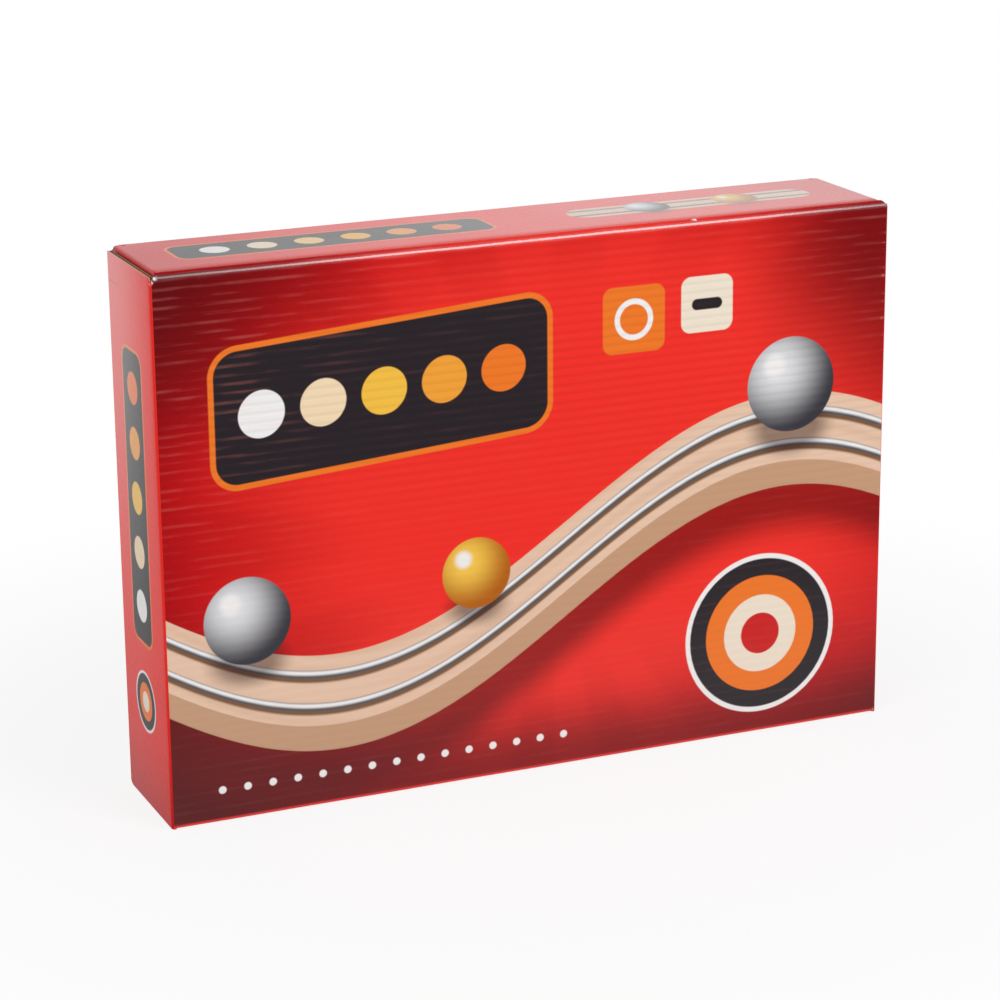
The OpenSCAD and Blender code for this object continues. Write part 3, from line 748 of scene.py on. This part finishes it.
# %% [markdown]
# ## Kraft paper and cut edges
# Inside, the board is brown kraft paper, full of long fibres and flecks. A cut across the flutes shows the
# wavy paper between its two liners, and a cut along them shows hollows. The hollows are painted shade.
# Modelling that wave would take a great many faces for an edge of under two millimetres, so the rims carry
# it as a pattern on their own flat places. The flaps that stay hidden are coated white, with a little red
# bleeding over the crease.

# %% Kraft liner
KRAFT_BROWN, KRAFT_PALE, KRAFT_CLOUD = (0.40, 0.235, 0.115), (0.56, 0.36, 0.20), (0.47, 0.28, 0.14)
KRAFT_FLECK, KRAFT_VALLEY_SHADE = (0.20, 0.11, 0.05), (0.24, 0.13, 0.06)


def kraft(name, place_of, lines):
    """Brown paper: long pale fibres, clouds and dark flecks, with painted shade in the flute valleys as faint
    lines across it.
    """
    ink, feed = finish(name, Roughness=0.82, Specular_IOR_Level=0.25)
    at = place_of(ink)
    across, = at.axes(1)
    long_fibre = at.noise(0.55, 5.0, (0.35, 2.2, 1.0))
    cloud = at.noise(0.03, 3.0)
    fleck = at.noise(1.4, 2.0).rise(0.66, 0.74)
    colour = long_fibre.over(KRAFT_BROWN, KRAFT_PALE)
    colour = (cloud * 0.35).over(colour, KRAFT_CLOUD)
    colour = (fleck * 0.5).over(colour, KRAFT_FLECK)
    # Painted shade: faint dark lines in the flute valleys.
    flute_line_shade = (across * WAVE).sin().rise(0.2, 1.0, lines)
    colour = flute_line_shade.over(colour, KRAFT_VALLEY_SHADE)
    return feed(Base_Color=colour, Normal=long_fibre.bump(0.25, 0.00006))


KRAFT, KRAFT_SOLID = kraft("kraft_liner", sheet_place, 0.22), kraft("kraft_insert", solid_place, 0.06)
print("kraft for the carton's inside and for the insert")

# %% Cut edges and coated flaps
HOLLOW_SHADE, LINER_EDGE = (0.13, 0.075, 0.035), (0.76, 0.68, 0.58)
PULP_DARK, PULP_PALE = (0.42, 0.27, 0.15), (0.62, 0.45, 0.28)
COAT_WHITE, BLEED = (0.78, 0.77, 0.74), 6.0


def cut_edge(name, across_flutes):
    """Two liners with the brown wavy paper between them, or with bits of it where the cut runs along, and
    painted shade in the hollows between them.
    """
    ink, feed = finish(name, Roughness=0.9, Specular_IOR_Level=0.2)
    flat = sheet_place(ink)
    u, v = flat.axes(0, 1)
    fibre = flat.noise(2.0, 4.0)
    if across_flutes:
        paper = inside(abs(v - BOARD / 2 - 0.5 * (u * WAVE).sin()) - 0.17, 0.08)
    else:
        paper = flat.noise(0.25, 4.0, (0.4, 1.0, 1.0)).rise(0.55, 0.75) * inside(abs(v - 0.9) - 0.35, 0.15)
    paper = paper.high(inside(0.56 - abs(v - BOARD / 2), 0.06))
    # Painted shade fills the hollows between the papers.
    colour = paper.over(HOLLOW_SHADE, fibre.over(PULP_DARK, PULP_PALE))
    colour = inside(v - 0.26, 0.05).over(colour, LINER_EDGE)
    return feed(Base_Color=colour, Normal=fibre.bump(0.4, 0.0001))


CUT_ACROSS, CUT_ALONG = cut_edge("cut_across_flutes", True), cut_edge("cut_along_flutes", False)
RAW = [KRAFT, CUT_ACROSS, CUT_ALONG]
ink, feed = finish("coated_flap", Specular_IOR_Level=0.35)
flat = sheet_place(ink)
from_crease, = flat.axes(0)
fibre = flat.noise(0.8, 4.0)
bleed = inside(from_crease + 0.7 * flat.noise(0.2, 3.0) - BLEED, 0.2)
COATED = feed(Base_Color=bleed.over(COAT_WHITE, RED), Roughness=0.42 + 0.1 * fibre,
              Normal=fibre.bump(0.1, 0.00005))
print("cut edges and coated flaps ready")

# %% [markdown]
# ## The carton's tube
# The front, top, back and bottom are one sheet creased along four long edges and glued at the back. Four
# separate plates would leave gaps at the folds. Here the sheet is one surface: a rounded rectangle in the
# Y-Z plane carried along X. The rectangle's corner middles and the direction of its surface change in
# straight steps along the sheet, so three interpolations give the whole curve.

# %% One liner of the tube
MID_Y = [Y_IN, -Y_IN, -Y_IN, -Y_IN, -Y_IN, Y_IN, Y_IN, Y_IN, Y_IN]
MID_Z = [FOLD, FOLD, FOLD, Z_IN, Z_IN, Z_IN, Z_IN, FOLD, FOLD]
TURN = np.radians([-90, -90, -180, -180, -270, -270, -360, -360, -450])
DEPTH = [CALM, CALM, TALL, TALL, CALM, CALM, TALL, TALL, CALM]
SEAM, ROOT_X = 146.0, 144.6
FOLD_SWELL, FLAT_SWELL = 0.16, 0.05


def tube(s, x, inset, wave):
    """Points of one liner. s is the way round the sheet, x the place along it: the corner middle plus the
    fold radius, less inset, in the direction that the surface faces there. wave adds the ripples, and
    an uneven swell along the upper front fold, where the real one isn't quite straight."""
    y, z, turn = (np.interp(s, KNOTS, values)[:, None] for values in (MID_Y, MID_Z, TURN))
    fold = np.exp(-((s[:, None] - FOLD_MIDS[1]) / 3.0) ** 2)
    swell = fold * FOLD_SWELL * wander(x, (23.0, 41.0, 97.0), 4)
    swell = swell + FLAT_SWELL * wander(x + 0.6 * s[:, None], (83.0, 131.0, 60.0), 7)
    fading = np.clip((SEAM - np.abs(x)) / 20, 0, 1)
    out = FOLD - inset + wave * (ripple(s, np.interp(s, KNOTS, DEPTH))[:, None] + swell * fading)
    return np.stack([x, y + out * np.cos(turn), z + out * np.sin(turn)], -1)


print("a liner goes through", len(KNOTS), "knots")

# %% Tube
CRUSHED, DRAWN_IN = 1.4, 1.5
COLUMNS, NEAR_END = 36, 0.985
# How far the sheet reaches from the middle: less where a flap's own sheet goes on, more at the folds.
NOTCH = [(0, ROOT_X), (KNOTS[1] - 0.4, ROOT_X), (KNOTS[1], 148.2), (KNOTS[2], 148.2), (KNOTS[2] + 0.3, SEAM),
         (KNOTS[3] - 0.3, SEAM), (KNOTS[3], 149.3), (KNOTS[4], 147.4), (KNOTS[4] + 0.4, ROOT_X),
         (KNOTS[5] - 0.4, ROOT_X), (KNOTS[5], 147.3), (KNOTS[6], 148.0), (KNOTS[7], 148.3),
         (KNOTS[8] - 0.1, 147.8), (KNOTS[8], ROOT_X)]
even = np.linspace(0, KNOTS[-1], int(KNOTS[-1] / STEP) + 1)
s = np.unique(np.concatenate([even, [knot for knot, _ in NOTCH], KNOTS, FOLD_MIDS]))
t = np.concatenate([[-1.0], np.linspace(-NEAR_END, NEAR_END, COLUMNS), [1.0]])
x = np.interp(s, *zip(*NOTCH))[:, None] * t
back_fold = np.exp(-((s - FOLD_MIDS[2]) / 2.0) ** 2)[:, None]
outer = tube(s, x, CRUSHED * back_fold * (np.abs(t) == 1), 1.0)[:-1]
inner = tube(s, x - DRAWN_IN * back_fold * t, BOARD, 0.0)[:-1]
flat = np.stack(np.broadcast_arrays(x, s[:, None]), -1)
panels = [PRINTS[name] for name in ("front", "top", "back", "bottom")]
panel = np.array([3, 0, 1, 2, 3])[np.searchsorted(FOLD_MIDS, (s[1:] + s[:-1]) / 2)]
carton = board("carton_sheet", outer, inner, strips(flat), panels + RAW, panel, joined=True)
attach(carton, "carton")
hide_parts("front_panel", "top_panel", "back_panel", "bottom_panel")

# %% [markdown]
# ## A folded strip
# At each end a panel is hinged on the front's upright crease, its tuck flap slips in behind the back panel,
# and two dust flaps fold down from the top and up from the bottom. On the real carton all are one sheet, so
# each piece here starts a little before its crease, runs round it and on to its free edge.

# %% The path of a fold
def folded(start, corner, stop, radius, before, bend, after):
    """A path of two straight legs with a round corner: points up to the tangent, closer together towards
    it, along the arc, and on. The arc's middle lies at the radius from both legs."""
    start, corner, stop = (np.array(p, float) for p in (start, corner, stop))
    first, second = corner - start, stop - corner
    first, second = first / np.linalg.norm(first), second / np.linalg.norm(second)
    turn = np.arctan2(first[0] * second[1] - first[1] * second[0], first @ second)
    reach = radius * np.tan(abs(turn) / 2)
    side = np.array([-first[1], first[0]]) * np.sign(turn)
    a, b = corner - first * reach, corner + second * reach
    angle = np.linspace(0, turn, bend)[:, None]
    spoke = -side * radius
    arc = a + side * radius + spoke * np.cos(angle) + np.array([-spoke[1], spoke[0]]) * np.sin(angle)
    nearing = 1 - (1 - np.linspace(0, 1, before, endpoint=False)[:, None]) ** 2
    return np.concatenate([start + (a - start) * nearing, arc,
                           b + (stop - b) * np.linspace(0, 1, after + 1)[1:, None]])


print("paths can fold")

# %% A flap and its crease
def flap(name, outside, within, order, edges, across, places, fold, finishes, depths=(CALM, CALM), crush=0.0):
    """A board whose two liners follow two paths, and that reaches sideways between two edges that change
    along the path. order says which of X, Y, Z the path's two numbers and the sideways one are, and
    across turns the sideways one into the place across the flutes. Up to the row fold a strip belongs to
    the panel before the crease, with its place along the sheet from places[0], and after it to the flap,
    from places[1]. depths are those of the ripples before and after it, and crush deepens them there."""
    low, high = (edge[:, None] for edge in edges)
    side = low + (high - low) * np.linspace(0, 1, int(np.max(high - low) / STEP) + 2)
    v = across(side)
    ahead = np.gradient(outside, axis=0)
    facing = np.stack([ahead[:, 1], -ahead[:, 0]], -1) / np.linalg.norm(ahead, axis=1)[:, None]
    facing *= np.sign(np.sum((outside - within) * facing))
    row = np.arange(len(outside))
    deep = np.where(row < fold, *depths) * (1 + crush * np.exp(-(((row - fold) / 2.0) ** 2)))
    grids = [outside[:, None] + facing[:, None] * ripple(v, deep[:, None])[..., None], within[:, None]]
    whole = [np.stack(np.broadcast_arrays(grid[..., 0], grid[..., 1], side), -1) for grid in grids]
    outer, inner = (grid[..., np.argsort(order)] for grid in whole)
    run = run_along(outside)[:, None]
    before, after = (strips(np.stack(np.broadcast_arrays(u(run), v), -1)) for u in places)
    later = row[:-1] >= fold
    flat = np.where(later[:, None, None, None], after, before)
    return board(name, outer, inner, flat, finishes + RAW, later.astype(int))


def bend_between(piece, corner, way, node, reach=1.2):
    """Bakes the piece's transform and hides the solid that it stands for."""
    way = np.array(way, float) / np.linalg.norm(way)
    start, end = (tuple((np.array(corner) + k * way) * MM) for k in (-reach, reach))
    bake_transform(piece)
    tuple(start)
    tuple(end)
    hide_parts(node)


print("flaps can be made")

# %% [markdown]
# ## End panels
# An end panel is as high as the carton and goes round the front's upright crease. Its free corners are cut
# round, and near the crease it leaves room for the tube's own folds. So its upper and lower edges aren't
# straight: each is a gap to the carton's top or bottom that changes along the panel.

# %% End panels
SIDES = (("left", -1), ("right", 1))
Y_END, Y_CORNER, MID_HEIGHT = 23.56, 25.1, 100
UPPER, LOWER, FOLD_ROOM = (1.5, 1.0), (0.35, 3.0), 2.45
# A path's points before its bend, in it and after it, the row of the crease and how it crushes the ripples.
END_POINTS, END_ROW, END_CRUSH = (3, 9, 40), 6, 0.5


def edge_gap(y, gap, radius):
    """How far an end panel's edge stays from the carton's top or bottom: a gap, and a quarter round at the
    free corner."""
    return gap + radius - np.sqrt(radius ** 2 - np.clip(y - (Y_CORNER - radius), 0, radius) ** 2)


def up_the_front(z):
    """The place across the flutes at a height on the front or on an end."""
    return z + FRONT_V


for word, sign in SIDES:
    outside, within = (
        folded((SEAM, deep - HALF_D), (HALF_W - deep, deep - HALF_D), (HALF_W - deep, Y_END), radius,
               *END_POINTS) * (sign, 1) for deep, radius in ((0.0, 1.5), (BOARD, 0.25)))
    y, length = outside[:, 1], run_along(outside)[-1]
    on_front = np.clip((148.5 - np.abs(outside[:, 0])) / 0.25, 0, 1)
    on_crease = np.clip((-y - 25.9) / 0.6, 0, 1)
    low = np.maximum(edge_gap(y, *LOWER), FOLD_ROOM * on_front)
    high = np.maximum(edge_gap(y, *UPPER), FOLD_ROOM * on_crease)
    places = (lambda run: sign * (SEAM + run), lambda run: run - length + Y_END)
    piece = flap(f"{word}_end_cover", outside, within, (0, 1, 2), (low, HEIGHT - high), up_the_front,
                 places, END_ROW, [PRINTS["front"], PRINTS["end"]], (TALL, CALM), END_CRUSH)
    bend_between(piece, (sign * HALF_W, -HALF_D, MID_HEIGHT), (sign, 1, 0),
                 f"{word}_end_panel")

# %% [markdown]
# ## Tuck flaps
# The tuck flap goes on from the end panel's back edge, leans in and slips behind the back panel. Its two
# liners turn at the same crease but not on the same radius, so the outer path is wide and the inner one
# nearly sharp. Bevelled sides let a real one find its slit, and here its edges move in along the path.

# %% Tuck flaps
LEAN, TUCK_Y, TUCK_L, HALF_BOARD = np.radians(20), 24.8, 16.0, BOARD / 2
TUCK_ROOM, BEVEL = 4.7, 8
TUCK_POINTS, TUCK_ROW, TUCK_REACH = (2, 8, 20), 6, 0.9
ahead, aside = np.array([-np.cos(LEAN), -np.sin(LEAN)]), np.array([-np.sin(LEAN), np.cos(LEAN)])
hinge = np.array([HALF_W - HALF_BOARD, TUCK_Y])
corner = np.array([HALF_BOARD, HALF_BOARD * (1 + np.sin(LEAN)) / np.cos(LEAN)])
for word, sign in SIDES:
    outside, within = (
        folded((hinge[0] + k * HALF_BOARD, Y_END), hinge + k * corner,
               hinge + ahead * TUCK_L + k * HALF_BOARD * aside, radius, *TUCK_POINTS)
        * (sign, 1) for k, radius in ((1, 0.9), (-1, 0.05)))
    bevel = TUCK_ROOM + BEVEL * np.clip((outside * (sign, 1) - hinge) @ ahead, 0, TUCK_L) / TUCK_L
    turned = np.arange(len(outside)) > 3
    y = np.minimum(outside[:, 1], Y_CORNER)
    low, high = (np.where(turned, bevel, edge_gap(y, *side)) for side in (LOWER, UPPER))
    places = (lambda run: run + Y_END, lambda run: run)
    piece = flap(f"{word}_tuck_cover", outside, within, (0, 1, 2), (low, HEIGHT - high), up_the_front,
                 places, TUCK_ROW, [PRINTS["end"], COATED])
    way = (np.array([0, 1.0]) + ahead) * (sign, 1)
    crease = (*((hinge + corner) * (sign, 1)), MID_HEIGHT)
    bend_between(piece, crease, (*way, 0), f"{word}_tuck_flap", TUCK_REACH)

# %% [markdown]
# ## Dust flaps
# Two short flaps at each end close the gaps behind the end panel, one from the top and one from the bottom.
# They fold in another plane than the end panels, so the same strip is used with Y as its sideways number.
# Their front side slants and their rear side steps in, so that they clear the panels beside them.

# %% Dust flaps
DUST_L, DUST_X = 44.0, 147.7
DUST_FRONT, DUST_SLANT = -24.7, 0.62
DUST_POINTS, DUST_ROW = (3, 9, 24), 7
REAR_AT, REAR_Y = [0, 2, 6, DUST_L], [24.8, 24.8, 16.9, 13.9]
LEVELS = (("upper", "top", lambda depth: HEIGHT - depth, lambda y: y + TOP_V),
          ("lower", "bottom", lambda depth: depth, lambda y: BOTTOM_V - y))
for word, sign in SIDES:
    for level, print_name, height, across in LEVELS:
        outside, within = (
            folded((ROOT_X, height(deep)), (DUST_X - deep, height(deep)),
                   (DUST_X - deep, height(HALF_BOARD + DUST_L)), radius, *DUST_POINTS)
            * (sign, 1) for deep, radius in ((0.0, 1.3), (BOARD, 0.1)))
        depth = np.clip(np.abs(outside[:, 1] - height(0)) - HALF_BOARD, 0, DUST_L)
        edges = DUST_FRONT + DUST_SLANT * depth, np.interp(depth, REAR_AT, REAR_Y)
        places = (lambda run: sign * (ROOT_X + run), lambda run: run)
        piece = flap(f"{word}_{level}_dust_cover", outside, within, (0, 2, 1), edges, across, places, DUST_ROW,
                     [PRINTS[print_name], COATED])
        bend_between(piece, (sign * DUST_X, 0, height(0)),
                     (sign, 0, height(1) - height(0)), f"{word}_{level}_dust_flap")

# %% [markdown]
# ## The wooden pieces
# The game is a beech board with six cups, two end plates, two steel rods with darker handles, a steel ball
# and a few screws, packed flat with a card insert and a leaflet. These solids already have the right shape,
# so they only get finishes. Beech is pale with fine lines and short brown flecks. A picture of wood would
# show a seam at every edge, while noise in space, stretched along the grain, runs through the whole block.

# %% Woods
def stretched(axis, long, wide):
    """The three scales of a noise that is drawn out along one axis, where its scale is small."""
    return tuple(long if i == axis else wide for i in range(3))


def wood(name, along, pale, dark, fleck_tone, gloss):
    """Wood with its grain along one axis: slow bands, fine lines and flecks, all noise drawn out along it."""
    ink, feed = finish(name, Specular_IOR_Level=0.35)
    at = solid_place(ink)
    bands = at.noise(0.06, 3.0, stretched(along, 0.12, 1.0))
    lines = at.noise(0.9, 4.0, stretched(along, 0.04, 1.0))
    flecks = at.noise(1.7, 1.0, stretched(along, 0.16, 1.3))
    colour = (bands * 0.6 + lines * 0.5).rise(0.25, 0.85).over(pale, dark)
    colour = (flecks.rise(0.60, 0.70) * 0.34).over(colour, fleck_tone)
    relief = (lines + flecks).bump(0.12, 0.00008)
    return feed(Base_Color=colour, Roughness=gloss + 0.15 * lines, Normal=relief)


def dress(material, slot_name, *names):
    """Gives the material to each named solid, in every slot of its object."""
    for name in names:
        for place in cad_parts[name].material_slots:
            place.material = material
    print(slot_name, "on", ", ".join(names))


BEECH_TONES = ((0.82, 0.615, 0.45), (0.68, 0.46, 0.31), (0.38, 0.20, 0.11))
OILED_TONES = ((0.36, 0.17, 0.075), (0.19, 0.08, 0.035), (0.07, 0.03, 0.015))
dress(wood("beech_board", 0, *BEECH_TONES, 0.42), "pale_wood", "base_board", "front_plate")
dress(wood("beech_plate", 2, *BEECH_TONES, 0.42), "pale_wood", "rear_plate")
dress(wood("oiled_handle", 0, *OILED_TONES, 0.32), "dark_wood", "upper_handle", "lower_handle")

# %% [markdown]
# ## Numbers by the cups
# Each cup has its points printed beside it, small and dark, to be read from the handles' end of the board.
# Figures are the one shape that a formula doesn't give easily, so Blender's own text makes them, with a hair
# of thickness, so that each is a closed solid. Their points are then turned on to the board's face.

# %% Cup numbers
CUPS, CUP_START, CUP_PITCH = 6, 20.0, 35.0
FIGURE, PROUD, OFF_LINE = 4.4, 0.03, 1.9
INK_BLACK, INK_BROWN = (0.05, 0.025, 0.015), (0.13, 0.07, 0.04)
low, high = (np.array(corner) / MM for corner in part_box("base_board"))
middle = (low[2] + high[2]) / 2
soup = bmesh.new()
for cup in range(CUPS):
    words = bpy.data.curves.new("cup_points", "FONT")
    words.body, words.align_x, words.resolution_u = str(100 * (cup + 1)), "CENTER", 3
    words.size, words.extrude = FIGURE, PROUD
    figure = bpy.data.meshes.new_from_object(bpy.data.objects.new("cup_points", words))
    at = np.empty(3 * len(figure.vertices), np.float32)
    figure.vertices.foreach_get("co", at)
    across, ahead, proud = at.reshape(-1, 3).T
    line = low[0] + CUP_START + (cup - 0.5) * CUP_PITCH
    placed = np.stack([line + OFF_LINE + ahead, low[1] - proud, middle - across], -1) * MM
    figure.vertices.foreach_set("co", placed.astype(np.float32).ravel())
    soup.from_mesh(figure)
bmesh.ops.remove_doubles(soup, verts=soup.verts, dist=1e-7)
bmesh.ops.recalc_face_normals(soup, faces=soup.faces)
numbers_mesh = bpy.data.meshes.new("cup_numbers")
soup.to_mesh(numbers_mesh)
soup.free()
numbers = put_in_scene("cup_numbers", numbers_mesh)
ink, feed = finish("burnt_figures", Specular_IOR_Level=0.2)
char = solid_place(ink).noise(1.6, 4.0)
numbers_mesh.materials.append(feed(Base_Color=char.over(INK_BLACK, INK_BROWN), Roughness=0.6 + 0.2 * char))
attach(numbers, "carton")
print("cup_numbers:", len(numbers_mesh.polygons), "faces")

# %% [markdown]
# ## Metals
# The rods and the ball are polished steel and the screws are zinc plated. Metals of one colour differ mostly
# in how rough they are, so one recipe serves all three: a cloudy tone, and fine scratches that run along the
# way the piece was drawn or turned.

# %% Metals
def metal(name, tone, smooth, scratch, along):
    """Bare metal: a tone with darker clouds, and a roughness that grows with scratches along one axis."""
    ink, feed = finish(name, Metallic=1.0)
    at = solid_place(ink)
    fine, cloud = at.noise(1.0, 4.0, stretched(along, 0.15, 6.0)), at.noise(0.12, 3.0)
    colour = (cloud * 0.5).over(tone, tuple(0.78 * v for v in tone))
    return feed(Base_Color=colour, Roughness=smooth + scratch * fine, Normal=fine.bump(0.06, 0.00002))


rod_steel = metal("polished_rod", (0.72, 0.73, 0.74), 0.10, 0.14, 0)
ball_steel = metal("polished_ball", (0.78, 0.79, 0.80), 0.04, 0.05, 2)
zinc = metal("zinc_plating", (0.60, 0.61, 0.60), 0.26, 0.22, 2)
dress(rod_steel, "polished_steel", "upper_rod", "lower_rod")
dress(ball_steel, "polished_steel", "steel_ball")
dress(zinc, "zinc_screw", "rear_plate_screws", "pivot_screws", "front_plate_screws")

# %% [markdown]
# ## Slot liner, card and leaflet
# The slot's liner is black moulded plastic with a fine grain. The insert is the same brown card as the
# carton's inside, and the leaflet is white paper folded once, with a few drawn outlines. A line drawing is
# the edge of a shape made thick, so the distances of the print serve for it too.

# %% Liner and card
LINER_BLACK, LINER_GREY = (0.010, 0.010, 0.012), (0.030, 0.030, 0.034)
ink, feed = finish("black_moulding", Specular_IOR_Level=0.4)
fine = solid_place(ink).noise(2.5, 3.0)
moulding = feed(Base_Color=(fine * 0.6).over(LINER_BLACK, LINER_GREY), Roughness=0.45 + 0.2 * fine,
                Normal=fine.bump(0.2, 0.00006))
dress(moulding, "black_liner", "slot_liner")
dress(KRAFT_SOLID, "plain_board", "glue_flap", "left_cradle", "right_cradle", "insert_shelf")

# %% Leaflet
PAPER, PAPER_GREY = (0.86, 0.855, 0.83), (0.78, 0.77, 0.73)
PEN, CREASE_SHADE_GREY = (0.25, 0.25, 0.27), (0.45, 0.44, 0.42)
LEAFLET_MIDDLE = 67.5


def pen_line(distance):
    """A thin line along a shape's edge: 1 where the distance to it is near zero."""
    return inside(abs(distance) - 0.35, 0.15)


ink, feed = finish("leaflet_paper", Specular_IOR_Level=0.25)
at = solid_place(ink)
x, z = at.axes(0, 2)
fibre = at.noise(1.2, 4.0)
crease = 1 - abs(x - LEAFLET_MIDDLE).rise(0.15, 0.9)
low_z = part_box("rules_leaflet")[0][2] / MM
sketch = pen_line(disc(x, z, 38.0, low_z + 52.0, 14.0)).high(pen_line(disc(x, z, 38.0, low_z + 52.0, 7.0)))
sketch = sketch.high(pen_line(plate(x, z, 98.0, low_z + 50.0, 22.0, 12.0, 3.0)))
tone = sketch.over((fibre * 0.5).over(PAPER, PAPER_GREY), PEN)
# Painted shade: a grey line along the fold, over the dent that the bump gives.
tone = (crease * 0.35).over(tone, CREASE_SHADE_GREY)
paper = feed(Base_Color=tone, Roughness=0.7 + 0.15 * fibre, Normal=(fibre - crease).bump(0.15, 0.00006))
dress(paper, "paper", "rules_leaflet")

# %% [markdown]
# ## Sizes
# The ripples, the swell and the round folds move the skin a little away from the solids, so the box of the
# whole object is measured once more and kept beside the box of the solids.

# %% Sizes and finish
size = {"cad": cad_box, "visual": [list(corner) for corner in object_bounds()]}
print("visual box:", [[round(v, 4) for v in corner] for corner in size["visual"]])
